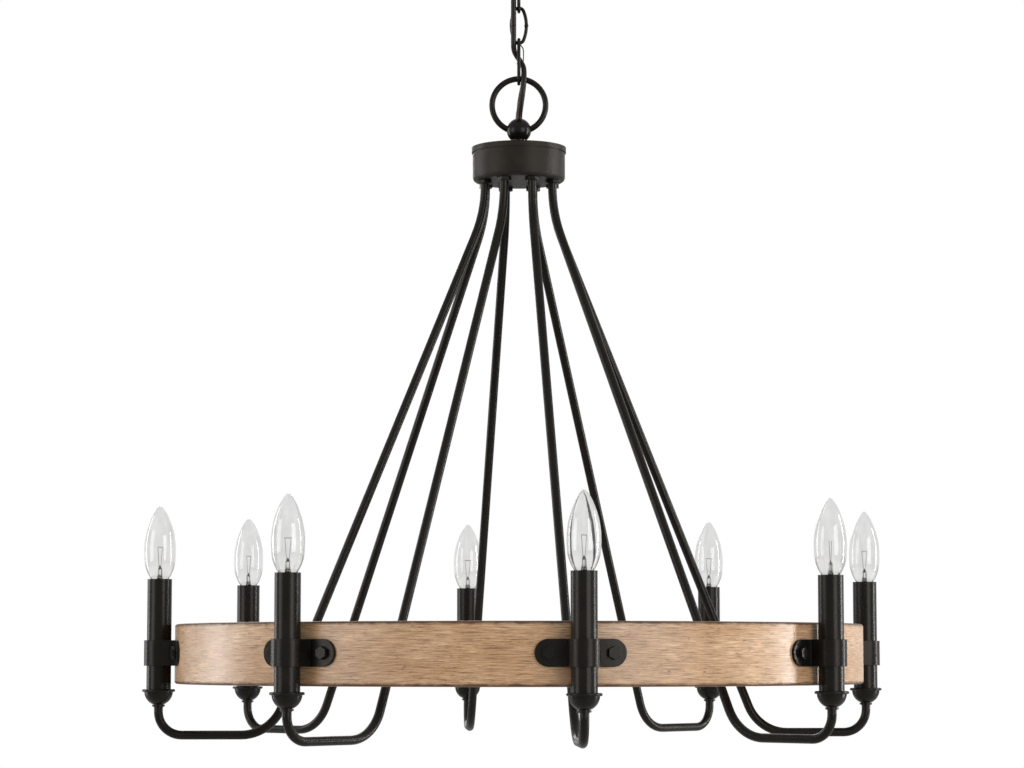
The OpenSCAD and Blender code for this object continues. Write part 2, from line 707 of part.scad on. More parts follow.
// the band of one clamp, in the arm's frame
module clamp_band() {
    ro = sleeve_r + clamp_gap + clamp_thick;
    ri = sleeve_r + clamp_gap;
    h = clamp_height;
    translate([0, 0, clamp_z - h / 2]) difference() {
        union() {
            translate([candle_circle, 0, 0]) cylinder(r = ro, h = h);
            translate([rim_in, -ro, 0]) cube([candle_circle - rim_in, 2 * ro, h]);
            intersection() {
                cylinder(r = ear_r, h = h, $fn = 360);
                translate([rim_in, 0, h / 2]) rotate([90, 0, 90]) linear_extrude(rim_in) union() {
                    square([bolt_spacing, h], center = true);
                    for (s = [-1, 1]) translate([s * bolt_spacing / 2, 0]) circle(r = h / 2);
                }
            }
        }
        translate([0, 0, -1]) cylinder(r = rim_r, h = h + 2, $fn = 360);
        translate([candle_circle, 0, -1]) cylinder(r = ri, h = h + 2);
        translate([rim_in, -ri, -1]) cube([candle_circle - rim_in, 2 * ri, h + 2]);
        for (s = [-1, 1]) rotate([0, 0, s * bolt_turn])
            translate([rim_r - 5, 0, h / 2]) rotate([0, 90, 0])
                cylinder(r = bolt_r + 0.2, h = 20);
    }
}

module sleeve_clamps() color("dimgray") each_arm() clamp_band();

// places children at each bolt of one clamp: +Z points outwards along the bolt
module each_bolt() {
    each_arm() for (s = [-1, 1]) rotate([0, 0, s * bolt_turn]) translate([0, 0, clamp_z])
        rotate([0, 90, 0]) children();
}

module clamp_bolts() color("dimgray") each_bolt() {
    translate([0, 0, rim_in - 8]) cylinder(r = bolt_r, h = ear_r - rim_in + 8);
    translate([0, 0, ear_r]) cylinder(r = bolt_head / sqrt(3), h = 4.2, $fn = 6);
}

module clamp_washers() color("silver") each_bolt()
    pipe(7.5, bolt_r + 0.05, rim_in - 0.1 - washer_t, rim_in - 0.1);

module clamp_nuts() color("silver") each_bolt()
    translate([0, 0, rim_in - 0.1 - washer_t - nut_t]) hex_nut(10, nut_t, bolt_r + 0.05);

// ---------- the model ----------

crossbar();
threaded_nipple();
nipple_nuts();
ground_screw();
canopy();
screw_collar();
canopy_loop();
chain_link_upper();
chain_link_middle();
chain_link_lower();
supply_cord();
earth_wire();
hanging_ring();
ring_ball();
hub_lid();
hub_can();
hub_bridge();
hub_stem();
stem_nut();
splice_block();
arm_nuts();
for (i = [0 : arms - 1]) arm(i);
socket_leads();
neck_collars();
candle_cups();
cup_nuts();
socket_brackets();
lamp_sockets();
socket_shells();
candle_sleeves();
for (i = [0 : arms - 1]) bulb_glass(i);
for (i = [0 : arms - 1]) bulb_base(i);
rim_half_right();
rim_half_left();
sleeve_clamps();
clamp_bolts();
clamp_washers();
clamp_nuts();
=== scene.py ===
# %% [markdown]
# A wagon wheel chandelier, dressed for its portrait.
#
# The metal parts, the wooden rim and the screws come from a CAD model that is loaded as it is.
# This script adds what CAD is poor at: the finish of every surface, the supply cord with its
# real bends, and blown glass. Every length is in metres, unless a name or a comment says
# millimetres, and the origin is on the ceiling.

# %% Load the CAD model
from math import cos, pi, radians, sin

import bmesh
import bpy
from mathutils import Matrix, Vector


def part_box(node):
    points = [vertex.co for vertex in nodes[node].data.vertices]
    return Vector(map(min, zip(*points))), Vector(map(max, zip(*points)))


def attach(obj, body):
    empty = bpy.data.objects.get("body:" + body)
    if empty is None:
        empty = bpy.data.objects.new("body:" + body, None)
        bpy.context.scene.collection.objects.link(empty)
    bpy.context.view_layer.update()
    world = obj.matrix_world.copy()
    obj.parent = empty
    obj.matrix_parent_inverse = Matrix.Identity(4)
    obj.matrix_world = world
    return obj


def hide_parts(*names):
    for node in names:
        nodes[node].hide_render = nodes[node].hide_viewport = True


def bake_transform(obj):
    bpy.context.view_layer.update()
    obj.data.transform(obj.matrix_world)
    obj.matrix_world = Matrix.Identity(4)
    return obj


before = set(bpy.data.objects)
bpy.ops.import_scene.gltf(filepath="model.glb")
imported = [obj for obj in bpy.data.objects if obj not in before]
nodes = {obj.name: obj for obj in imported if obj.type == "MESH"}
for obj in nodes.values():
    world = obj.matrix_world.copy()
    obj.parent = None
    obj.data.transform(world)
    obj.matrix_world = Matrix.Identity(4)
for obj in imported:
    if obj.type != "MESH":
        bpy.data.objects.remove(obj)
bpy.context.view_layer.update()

# %% [markdown]
# Most things on this object are placed from the middle of the wooden rim: the camera's
# height, the bulbs and the pattern in the wood. So its height is read from the CAD piece
# first. The candles stand on one circle, an eighth of a turn apart, and the first of them is
# a little to the right of the picture's middle.

# %% Heights and angles
RIM_LOW, RIM_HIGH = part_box("rim_half_left")
RIM_Z = (RIM_LOW.z + RIM_HIGH.z) / 2
FIRST_ARM = radians(9.25)
ARMS = 8
CANDLE_CIRCLE = 0.388


def arm_angle(i):
    return FIRST_ARM - pi / 2 + i * 2 * pi / ARMS


def candle_axis(i):
    a = arm_angle(i)
    return Vector((CANDLE_CIRCLE * cos(a), CANDLE_CIRCLE * sin(a), 0))


print("rim middle at", round(RIM_Z, 4), "first candle at", candle_axis(0))

# %% [markdown]
# The photograph was taken with a long lens at the height of the rim: the rim shows as a
# straight band, with no ellipse. The picture is tall enough to take in the hub because the
# camera is tipped up by about five degrees. Copying that stance exactly is what makes the
# straight rim and the slightly spread candles come out right.

# %% The camera
CAMERA_DISTANCE = 3.2
FOCAL_PIXELS = 2937.5
PICTURE_WIDTH = 1024
SENSOR_WIDTH = 36
EYE_UNDER_RIM = 0.0006
FAR_LIMIT = 60
PITCH_UP = radians(5.261)
TURN_LEFT = radians(0.135)

camera = bpy.data.cameras.new("camera")
camera.sensor_width = SENSOR_WIDTH
camera.lens = FOCAL_PIXELS / PICTURE_WIDTH * SENSOR_WIDTH
camera.clip_end = FAR_LIMIT
eye = bpy.data.objects.new("camera", camera)
eye.location = (0, -CAMERA_DISTANCE, RIM_Z - EYE_UNDER_RIM)
eye.rotation_euler = (pi / 2 + PITCH_UP, 0, TURN_LEFT)
bpy.context.scene.collection.objects.link(eye)
bpy.context.scene.camera = eye
print("lens", round(camera.lens, 2), "mm")

# %% [markdown]
# A cord is a tube swept along a given route. A Blender curve with a round bevel would do, but a
# tube of our own can be cut into lengths that meet without a gap. Catmull-Rom interpolation
# makes a smooth line through every chosen point, and a frame carried from ring to ring keeps the
# tube from twisting.

# %% A tube along a route
def smooth(points, between):
    line = []
    for i in range(len(points) - 1):
        a, b = points[max(i - 1, 0)], points[i]
        c, d = points[i + 1], points[min(i + 2, len(points) - 1)]
        for k in range(between):
            t = k / between
            line.append(0.5 * (2 * b + (c - a) * t + (2 * a - 5 * b + 4 * c - d) * t * t
                               + (3 * b - a - 3 * c + d) * t ** 3))
    return line + [points[-1]]


def new_object(name, mesh, *materials):
    thing = bpy.data.objects.new(name, mesh)
    bpy.context.scene.collection.objects.link(thing)
    for material in materials:
        mesh.materials.append(material)
    return thing


def tube(name, line, radius, sides):
    shape = bmesh.new()
    rings = []
    across = Vector((1, 0, 0))
    for i, p in enumerate(line):
        along = (line[min(i + 1, len(line) - 1)] - line[max(i - 1, 0)]).normalized()
        across = (across - along * across.dot(along)).normalized()
        up = along.cross(across)
        rings.append([shape.verts.new(p + radius * (cos(2 * pi * k / sides) * across
                                                    + sin(2 * pi * k / sides) * up))
                      for k in range(sides)])
    for low, high in zip(rings, rings[1:]):
        for k in range(sides):
            m = (k + 1) % sides
            shape.faces.new((low[k], low[m], high[m], high[k])).smooth = True
    shape.faces.new(rings[0][::-1])
    shape.faces.new(rings[-1])
    mesh = bpy.data.meshes.new(name)
    shape.to_mesh(mesh)
    shape.free()
    return new_object(name, mesh)


# %% [markdown]
# The supply cord leaves the hub through the ball, winds through the ring and the links, and
# goes into the canopy. The bare earth wire runs beside it on a way of its own. Each point of
# a route was set so that the cord clears the wire of every link it passes. The heights are in
# millimetres above the foot of the lowest link, because the chain is what the cord winds
# round.

# %% The routes, in millimetres above the lowest link's foot
LINK_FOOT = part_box("chain_link_lower")[0].z
CORD_D = 0.006
EARTH_D = 0.0014
CORD_FOOT = -84.4
CORD_HEAD = 186.5
CORD_POINTS = [
    (0.7, 0, CORD_FOOT), (0.7, 0, -69), (0.7, 0, -53), (0.7, 0, -39), (1.1, -1.4, -31),
    (2.7, -5, -20), (4.4, -7.1, -8), (5.5, -7.5, 3), (5.7, -6.2, 12), (5.1, -3.4, 19.5),
    (2.6, -0.8, 25.5), (-0.6, 0.1, 30.5), (-3.8, -0.9, 35.5), (-5.5, -3.2, 40.5),
    (-5.8, -5.5, 47), (-5.8, -5.7, 59), (-5.8, -5.6, 75), (-5.8, -5.7, 91),
    (-5.8, -6, 107), (-5.6, -6.1, 118), (-4.4, -4.6, 126.5), (-2.1, -2.3, 133.5),
    (0.1, -0.6, 139.5), (0.7, 0, 146), (0.7, 0, 159), (0.7, 0, 173), (0.7, 0, CORD_HEAD)]
EARTH_POINTS = [
    (-3.1, 0, CORD_FOOT), (-3.1, 0, -69), (-3.1, 0, -53), (-3.1, 0, -39), (-2.7, -0.4, -33),
    (-1.7, -1.1, -26), (-1, -2.6, -19), (1, -4.2, -8), (2.8, -4.5, 1), (3, -4.2, 7),
    (3.1, -2.8, 11.5), (3.7, 0.8, 18), (4.9, 3.4, 27), (5.2, 4.2, 35), (4.8, 6, 42),
    (2.2, 8.5, 46.6), (-1.8, 8.6, 47.8), (-5.2, 6.4, 52), (-5.8, 4.4, 60), (-5.7, 4.2, 79),
    (-5.8, 4.3, 99), (-5.7, 4.3, 115), (-4.9, 3.2, 125), (-3.9, 1.5, 135), (-3.3, 0.3, 143),
    (-3.1, 0, 151), (-3.1, 0, 167), (-3.1, 0, CORD_HEAD)]

# %% [markdown]
# The chain can swing at four places. A cord that rode on one link would tear away from the next,
# so cord and earth wire are built in four lengths that meet inside the links, each named for the
# hinge that it crosses.

# %% The cord and the earth wire, in lengths that each cross one hinge
CROSSINGS = [("fixture_swing", CORD_FOOT, 26), ("lower_link_swing", 26, 65),
             ("middle_link_swing", 65, 103.5), ("upper_link_swing", 103.5, CORD_HEAD)]
STEPS_BETWEEN = 8
CORD_SIDES = 16
EARTH_SIDES = 10


def from_link(z_mm):
    return LINK_FOOT + z_mm / 1000


def route_line(points):
    marks = [Vector((x / 1000, y / 1000, from_link(z))) for x, y, z in points]
    return smooth(marks, STEPS_BETWEEN)


def between_heights(line, low, high):
    part = []
    for a, b in zip(line, line[1:]):
        for z in (low, high):
            if a.z < z < b.z:
                part.append(a.lerp(b, (z - a.z) / (b.z - a.z)))
        if low <= b.z <= high:
            part.append(b)
    return ([line[0]] if line[0].z >= low - 1e-6 else []) + part


def lay_cord(name, points, diameter, sides):
    line = route_line(points)
    for joint, low, high in CROSSINGS:
        part = between_heights(line, from_link(low), from_link(high))
        piece = tube(name + "_" + joint.replace("_swing", ""), part, diameter / 2, sides)
        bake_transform(piece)
        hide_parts(name)
        length = sum((b - a).length for a, b in zip(part, part[1:]))
        tuple(part[0])
        yield piece


cord_pieces = list(lay_cord("supply_cord", CORD_POINTS, CORD_D, CORD_SIDES))
earth_pieces = list(lay_cord("earth_wire", EARTH_POINTS, EARTH_D, EARTH_SIDES))
print("cord in", len(cord_pieces), "lengths, earth wire in", len(earth_pieces))

# %% [markdown]
# Finishes are graphs of small nodes. A few helpers keep them short. One starts a material,
# and one adds a node: an input named _0 or _1 is counted, any other goes by its name, and a
# value that is a socket gets wired. The rest make sums, colour ramps and noise. Every pattern
# reads the object's own coordinates, so it stays put on the piece when the chandelier swings.

# %% Helpers for materials
def start_material(name, colour, roughness, metallic=0.0, specular=0.5):
    material = bpy.data.materials.new(name)
    material.use_nodes = True
    shader = material.node_tree.nodes["Principled BSDF"]
    shader.inputs["Base Color"].default_value = (*colour, 1)
    shader.inputs["Roughness"].default_value = roughness
    shader.inputs["Metallic"].default_value = metallic
    shader.inputs["Specular IOR Level"].default_value = specular
    return material, material.node_tree, shader


def add(tree, kind, settings=(), **inputs):
    node = tree.nodes.new("ShaderNode" + kind)
    for key, value in dict(settings).items():
        setattr(node, key, value)
    for key, value in inputs.items():
        counted = key.startswith("_")
        socket = node.inputs[int(key[1:]) if counted else key.replace("_", " ")]
        if isinstance(value, bpy.types.NodeSocket):
            tree.links.new(value, socket)
        else:
            socket.default_value = value
    return node


def maths(tree, operation, a, b=0.0):
    return add(tree, "Math", {"operation": operation}, _0=a, _1=b).outputs[0]


def ramp(tree, value, stops):
    node = add(tree, "ValToRGB", _0=value)
    marks = node.color_ramp.elements
    while len(marks) < len(stops):
        marks.new(0.5)
    for mark, (position, colour) in zip(marks, stops):
        mark.position = position
        mark.color = (*colour, 1) if len(colour) == 3 else colour
    return node.outputs["Color"]


def grey(level):
    return (level, level, level)


def stretched(tree, scale):
    place = add(tree, "TexCoord").outputs["Object"]
    return add(tree, "Mapping", Vector=place, Scale=scale).outputs[0]


def noise(tree, vector, scale, detail=3, roughness=0.5):
    return add(tree, "TexNoise", Vector=vector, Scale=scale, Detail=detail,
               Roughness=roughness).outputs["Fac"]


# %% [markdown]
# The metal is painted to look like old bronze: almost black, warm in the highlights, with the
# faint orange-peel that sprayed paint dries with. A speckle in the roughness breaks up the
# long reflections on the tubes. Low specular keeps the middle of each tube dark, while its
# edges still pick up the white studio, as they do in the photograph.
#
# There are three of them. The tubes and castings are the darkest and smoothest. The hub and
# the canopy are greyer, duller and more grainy. The straps and bolts are cut from plate, so
# their sharp CAD edges get a bevel in the shading, which catches the light as paint on a real
# edge does.

# %% Painted bronze
CLOUD_SCALE = 60
SPECK_SCALE = 900
PEEL_SCALE = 1400
PEEL_HEIGHT = 0.0002
HIGHLIGHT_TINT = (1, 0.93, 0.84, 1)
NEARLY_BLACK = (0.0048, 0.0044, 0.0036)
GREYER_BLACK = (0.0105, 0.0097, 0.0078)


def bronze_paint(name, colour, roughness, grain=0.15, specular=0.16, edge=0.0):
    material, tree, shader = start_material(name, colour, roughness, specular=specular)
    shader.inputs["Specular Tint"].default_value = HIGHLIGHT_TINT
    place = stretched(tree, (1, 1, 1))
    cloud = noise(tree, place, CLOUD_SCALE, 4)
    warm = tuple(min(1, c * k) for c, k in zip(colour, (1.5, 1.3, 1.1)))
    cool = tuple(c * 0.75 for c in colour)
    tree.links.new(ramp(tree, cloud, [(0.35, cool), (0.7, warm)]), shader.inputs["Base Color"])
    speck = noise(tree, place, SPECK_SCALE, 2)
    rough = add(tree, "MapRange", _0=speck, _1=0.3, _2=0.7, _3=roughness - 0.06,
                _4=roughness + 0.08).outputs[0]
    tree.links.new(rough, shader.inputs["Roughness"])
    peel = add(tree, "Bump", Strength=grain, Distance=PEEL_HEIGHT,
               Height=noise(tree, place, PEEL_SCALE, 2, 0.6))
    if edge:
        tree.links.new(add(tree, "Bevel", Radius=edge).outputs[0], peel.inputs["Normal"])
    tree.links.new(peel.outputs[0], shader.inputs["Normal"])
    return material


dark_bronze = bronze_paint("dark_bronze", NEARLY_BLACK, 0.26)
soft_bronze = bronze_paint("soft_bronze", GREYER_BLACK, 0.42, grain=0.8)
edged_bronze = bronze_paint("edged_bronze", NEARLY_BLACK, 0.28, edge=0.0010)
print("paints:", [paint.name for paint in (dark_bronze, soft_bronze, edged_bronze)])

# %% [markdown]
# Plated steel, brass, copper and nickel are true metals: metallic at one, with the colour of
# the plating. The noise is squeezed along the axis of the turned parts, so it reads as the
# fine lines that a lathe or a die leaves round them. It moves colour, roughness and bump
# together, because a scratch does all three.

# %% Plated and plain metals
SCRATCH_SCALE = 400
SCRATCH_DEPTH = 0.0001


def bare_metal(name, colour, roughness, scratch=(1, 1, 8)):
    material, tree, shader = start_material(name, colour, roughness, metallic=1.0)
    place = stretched(tree, scratch)
    lines = noise(tree, place, SCRATCH_SCALE, 4, 0.7)
    dull = tuple(c * 0.7 for c in colour)
    tree.links.new(ramp(tree, lines, [(0.3, dull), (0.65, colour)]), shader.inputs["Base Color"])
    rough = add(tree, "MapRange", _0=lines, _1=0.3, _2=0.7, _3=roughness - 0.08,
                _4=roughness + 0.1).outputs[0]
    tree.links.new(rough, shader.inputs["Roughness"])
    bump = add(tree, "Bump", Strength=0.15, Distance=SCRATCH_DEPTH, Height=lines)
    tree.links.new(bump.outputs[0], shader.inputs["Normal"])
    return material


zinc = bare_metal("zinc_plate", (0.56, 0.57, 0.58), 0.35)
brass = bare_metal("plain_brass", (0.72, 0.54, 0.26), 0.30)
copper = bare_metal("dull_copper", (0.20, 0.13, 0.10), 0.32, (1, 1, 1))
nickel = bare_metal("nickel_wire", (0.50, 0.49, 0.47), 0.35)
green_screw = bare_metal("green_screw", (0.08, 0.35, 0.14), 0.35)
print("metals:", [metal.name for metal in (zinc, brass, copper, nickel, green_screw)])

# %% [markdown]
# The rim is a pale wood, brushed so that the soft grain is lowered, then rubbed with a dark
# wax and given a satin lacquer. The grain must run round the rim, and Blender's wood textures
# are straight. So the pattern's coordinates are made by nodes from the position: the length
# of arc round the band, the height above its middle and the depth from its face.

# %% Coordinates that follow the bent wood
RIM_RADIUS = 0.371
RIM_HALF = (RIM_HIGH.z - RIM_LOW.z) / 2
RIM_THICK = 0.016
SEAM_ANGLE = arm_angle(1)


def band_coordinates(tree):
    place = add(tree, "TexCoord").outputs["Object"]
    x, y, z = add(tree, "SeparateXYZ", Vector=place).outputs
    angle = maths(tree, "ARCTAN2", y, x)
    radius = maths(tree, "SQRT", maths(tree, "ADD", maths(tree, "MULTIPLY", x, x),
                                       maths(tree, "MULTIPLY", y, y)))
    depth = maths(tree, "SUBTRACT", radius, RIM_RADIUS)
    height = maths(tree, "SUBTRACT", z, RIM_Z)
    arc = maths(tree, "MULTIPLY", angle, RIM_RADIUS)
    return angle, arc, height, depth


def grain_maker(tree, arc, height, depth):
    def grain(arc_scale, scale, detail=4, rough=0.6):
        along = maths(tree, "MULTIPLY", arc, arc_scale)
        vector = add(tree, "CombineXYZ", X=along, Y=height, Z=depth).outputs[0]
        return noise(tree, vector, scale, detail, rough)
    return grain


print("seams at", round(SEAM_ANGLE, 3), "rad and opposite")

# %% [markdown]
# Three patterns make the colour of the flat wood, from coarse to fine. Broad clouds shift it
# from tan to cream. Long thin streaks darken and lighten it, and the same streaks drive the
# bump and the roughness, because brushing lowers the soft, dark lines. Short dark specks,
# gathered in patches, are the wax that stayed in the pores. The first number given to grain
# is how much the pattern is stretched along the band: the smaller, the longer the marks.

# %% The colour of the wood
BROAD_COLOURS = [(0.3, (0.400, 0.228, 0.112)), (0.5, (0.475, 0.290, 0.155)),
                 (0.72, (0.560, 0.372, 0.226))]
STREAK_TINTS = [(0.36, (0.36, 0.27, 0.19)), (0.47, (0.84, 0.81, 0.77)),
                (0.55, grey(1.03)), (0.66, (1.42, 1.46, 1.54))]
PORE_STOPS = [(0.35, grey(1)), (0.42, grey(0))]
PATCH_STOPS = [(0.42, grey(0.15)), (0.62, grey(0.9))]
PORE_WAX = (0.10, 0.045, 0.020, 1)


def wood_colour(tree, grain, streak):
    broad = ramp(tree, grain(0.25, 28, 3), BROAD_COLOURS)
    fine = ramp(tree, streak, STREAK_TINTS)
    mixed = add(tree, "MixRGB", {"blend_type": "MULTIPLY"}, _0=1.0, _1=broad, _2=fine)
    pore = ramp(tree, grain(0.15, 820, 3, 0.7), PORE_STOPS)
    patch = ramp(tree, grain(0.6, 45, 2), PATCH_STOPS)
    pores = maths(tree, "MULTIPLY", pore, patch)
    return add(tree, "MixRGB", _0=pores, _1=mixed.outputs[0], _2=PORE_WAX).outputs[0]


print("streaks in", len(STREAK_TINTS), "tints")

# %% [markdown]
# The four long edges of the rim are darker in colour, with a ragged border. A mask does this:
# near the top or bottom edge it is one, a slow noise makes its border ragged, and it is
# strongest at the corners of the section. The two halves of the rim meet in a thin dark line.
# The sine of the angle from one seam is nought at both, so one sum draws the two lines.

# %% Dark edges and seams
RAGGED_BY = 0.0045
EDGE_BLEED = 0.0004
EDGE_FADE = (-0.0006, 0.0024)
CORNER_FADE = (0.0042, 0.0012)
FLAT_SHARE = 0.25
SEAM_FADE = (0.0004, 0.0013)
EDGE_STRENGTH = 0.92


def falling(tree, value, span):
    return add(tree, "MapRange", _0=value, _1=span[0], _2=span[1], _3=1.0, _4=0.0).outputs[0]


def dark_places(tree, grain, angle, height, depth):
    ragged = maths(tree, "MULTIPLY", grain(0.5, 180, 3), RAGGED_BY)
    from_edge = maths(tree, "SUBTRACT", RIM_HALF + EDGE_BLEED, maths(tree, "ABSOLUTE", height))
    # one near the top and bottom edges of the band, with a ragged border: where the colour is
    # darkened
    near_edge = falling(tree, maths(tree, "SUBTRACT", from_edge, ragged), EDGE_FADE)
    mid_depth = maths(tree, "ABSOLUTE", maths(tree, "ADD", depth, RIM_THICK / 2))
    corner = add(tree, "MapRange", _0=mid_depth, _1=RIM_THICK / 2 - CORNER_FADE[0],
                 _2=RIM_THICK / 2 - CORNER_FADE[1], _3=0.0, _4=1.0).outputs[0]
    edging = maths(tree, "MULTIPLY", near_edge, maths(tree, "MAXIMUM", corner, FLAT_SHARE))
    turn = maths(tree, "SINE", maths(tree, "SUBTRACT", angle, SEAM_ANGLE))
    off_seam = maths(tree, "MULTIPLY", maths(tree, "ABSOLUTE", turn), RIM_RADIUS)
    seam = falling(tree, off_seam, SEAM_FADE)
    return maths(tree, "MAXIMUM", maths(tree, "MULTIPLY", edging, EDGE_STRENGTH), seam)


print("edges fade over", round((EDGE_FADE[1] - EDGE_FADE[0]) * 1000, 1), "mm")

# %% [markdown]
# The pieces come together in one material. The lacquer is the shader's coat: a second, even
# shine on top, which gives the soft glares where the side lights meet the wood. The coat fades
# out on the darkened edges.

# %% The wood of the rim
WOOD_SHINE = 0.25
LACQUER = 0.6
LACQUER_ROUGHNESS = 0.29
# the colour that the long edges and the seams are darkened towards
EDGE_DARK_COLOUR = (0.050, 0.020, 0.009, 1)
BRUSHED_DEPTH = 0.0003


def wood():
    material, tree, shader = start_material("brushed_wood", (0.42, 0.29, 0.19), 0.45,
                                            specular=WOOD_SHINE)
    shader.inputs["Coat Roughness"].default_value = LACQUER_ROUGHNESS
    angle, arc, height, depth = band_coordinates(tree)
    grain = grain_maker(tree, arc, height, depth)
    streak = grain(0.045, 900, 5, 0.75)
    waxed = wood_colour(tree, grain, streak)
    dark = dark_places(tree, grain, angle, height, depth)
    edged = add(tree, "MixRGB", _0=dark, _1=waxed, _2=EDGE_DARK_COLOUR)
    tree.links.new(edged.outputs[0], shader.inputs["Base Color"])
    coat = maths(tree, "MULTIPLY", maths(tree, "SUBTRACT", 1.0, dark), LACQUER)
    tree.links.new(coat, shader.inputs["Coat Weight"])
    rough = add(tree, "MapRange", _0=streak, _1=0.3, _2=0.7, _3=0.38, _4=0.55).outputs[0]
    tree.links.new(rough, shader.inputs["Roughness"])
    bump = add(tree, "Bump", Strength=0.35, Distance=BRUSHED_DEPTH, Height=streak)
    tree.links.new(bump.outputs[0], shader.inputs["Normal"])
    return material


rim_wood = wood()
print(rim_wood.name, "has", len(rim_wood.node_tree.nodes), "nodes")

# %% [markdown]
# The cord's jacket is dark brown plastic, soft in shine and a little uneven. The leads
# inside the arms and the moulded sockets get plain plastics. A plain colour would look like
# a drawing, so a slow mottle moves it a little and a very fine bump stands for the texture
# that the mould or the die leaves.

# %% Plastics
MOTTLE_SCALE = 250
MOULD_SCALE = 2500
MOULD_DEPTH = 0.0001


def plastic(name, colour, roughness, mottle=0.12, specular=0.5):
    material, tree, shader = start_material(name, colour, roughness, specular=specular)
    place = stretched(tree, (1, 1, 1))
    low = tuple(c * (1 - mottle) for c in colour)
    high = tuple(min(1, c * (1 + mottle)) for c in colour)
    mottled = ramp(tree, noise(tree, place, MOTTLE_SCALE, 3), [(0.35, low), (0.65, high)])
    tree.links.new(mottled, shader.inputs["Base Color"])
    bump = add(tree, "Bump", Strength=0.12, Distance=MOULD_DEPTH,
               Height=noise(tree, place, MOULD_SCALE, 2))
    tree.links.new(bump.outputs[0], shader.inputs["Normal"])
    return material


cord_jacket = plastic("cord_jacket", (0.0090, 0.0045, 0.0035), 0.30, 0.3, specular=0.2)
lead_jacket = plastic("lead_jacket", (0.70, 0.69, 0.66), 0.45)
phenolic = plastic("phenolic_black", (0.020, 0.019, 0.018), 0.35)
block_plastic = plastic("block_plastic", (0.72, 0.69, 0.60), 0.45)
for piece in cord_pieces:
    piece.data.materials.append(cord_jacket)
for piece in earth_pieces:
    piece.data.materials.append(copper)
print("plastics:", [p.name for p in (cord_jacket, lead_jacket, phenolic, block_plastic)])

# %% [markdown]
# Clear glass needs very little: full transmission, no roughness, and a faint grey tint,
# because two thin walls and the curved skin take a little of the white behind. A weak, slow
# bump stands for the waviness of glass that was blown into a mould.

# %% Glass
GLASS_IOR = 1.48
GLASS_TINTS = [(0.3, (0.880, 0.878, 0.875)), (0.7, (0.955, 0.953, 0.950))]
DRAWN_OUT = (1, 1, 0.4)
WAVE_DEPTH = 0.0006


def clear_glass():
    material, tree, shader = start_material("clear_glass", (0.93, 0.935, 0.935), 0.0)
    shader.inputs["Transmission Weight"].default_value = 1.0
    shader.inputs["IOR"].default_value = GLASS_IOR
    place = stretched(tree, DRAWN_OUT)
    tint = ramp(tree, noise(tree, place, 90, 2), GLASS_TINTS)
    tree.links.new(tint, shader.inputs["Base Color"])
    wave = add(tree, "Bump", Strength=0.10, Distance=WAVE_DEPTH,
               Height=noise(tree, place, 110, 2))
    tree.links.new(wave.outputs[0], shader.inputs["Normal"])
    return material


glass = clear_glass()
print("glass bends light by", GLASS_IOR)

# %% [markdown]
# Each bulb is turned like a vase: a smooth profile spun round the candle's axis. It needs two
# closed skins: the outer one, and the wall of the hollow, which runs over the flared stem
# that carries the wires and up the inside of the glass, 0.6 mm from the outer skin. The CAD
# bulb has the same outline in straight steps. Reflections show every step, so the spun one
# replaces it. All profiles here are in millimetres, as radius and height, and a bulb's
# heights count from its foot, which is 72.9 mm above the middle of the rim.

# %% Spin a bulb
BULB_FOOT = 72.9
FOOT_OVERLAP = 0.5
BULB_LINE = [(6.3, 0.5), (7.1, 3.4), (9.1, 6.3), (11.6, 10.2), (13.9, 15.4), (15.9, 22),
             (16.6, 30), (16.7, 39.9), (15.8, 49.4), (13.9, 58.9), (11.2, 67), (8.4, 73.9),
             (5.6, 79.1), (3.3, 82.2), (1.7, 83.9), (0, 84.4)]
GLASS_WALL = 0.6
STEM_LINE = [(5.0, 0.3), (4.4, 1.6), (3.6, 5.1), (2.9, 8.6), (2.5, 12), (2.4, 15.1),
             (2.2, 17.9), (1.4, 19.1), (0, 19.4)]
SIDES = 64


def spin(shape, profile, facing_out):
    rings = []
    for r, z in profile:
        around = 1 if r < 1e-6 else SIDES
        rings.append([shape.verts.new((r * cos(2 * pi * k / SIDES),
                                       r * sin(2 * pi * k / SIDES), z))
                      for k in range(around)])
    for low, high in zip(rings, rings[1:]):
        for k in range(SIDES):
            m = (k + 1) % SIDES
            corners = [low[k % len(low)], low[m % len(low)],
                       high[m % len(high)], high[k % len(high)]]
            corners = list(dict.fromkeys(corners))
            if not facing_out:
                corners.reverse()
            if len(corners) > 2:
                shape.faces.new(corners).smooth = True


def profile_line(points, between=4):
    line = smooth([Vector((r, BULB_FOOT + z, 0)) for r, z in points], between)
    return [(max(p.x, 0.0) / 1000, p.y / 1000) for p in line]


TIP_INSIDE = [(2.6, 82.0), (1.1, 83.3), (0, 83.8)]
outer = profile_line(BULB_LINE)
inner = profile_line([(r - GLASS_WALL, z) for r, z in BULB_LINE[:-3]] + TIP_INSIDE)
stem = profile_line(STEM_LINE)
bulb_shape = bmesh.new()
foot = (BULB_FOOT - FOOT_OVERLAP) / 1000
spin(bulb_shape, [(0, foot), (BULB_LINE[0][0] / 1000, foot)] + outer, True)
spin(bulb_shape, stem[::-1] + inner, False)
skin = bpy.data.meshes.new("bulb_skin")
bulb_shape.to_mesh(skin)
bulb_shape.free()
print("glass profile of", len(outer), "rings outside and", len(stem) + len(inner), "inside")

# %% [markdown]
# The eight bulbs share one mesh: only their places and turns differ. Each rides on the body
# of its own bulb, so it moves out of its socket when that bulb is unscrewed.

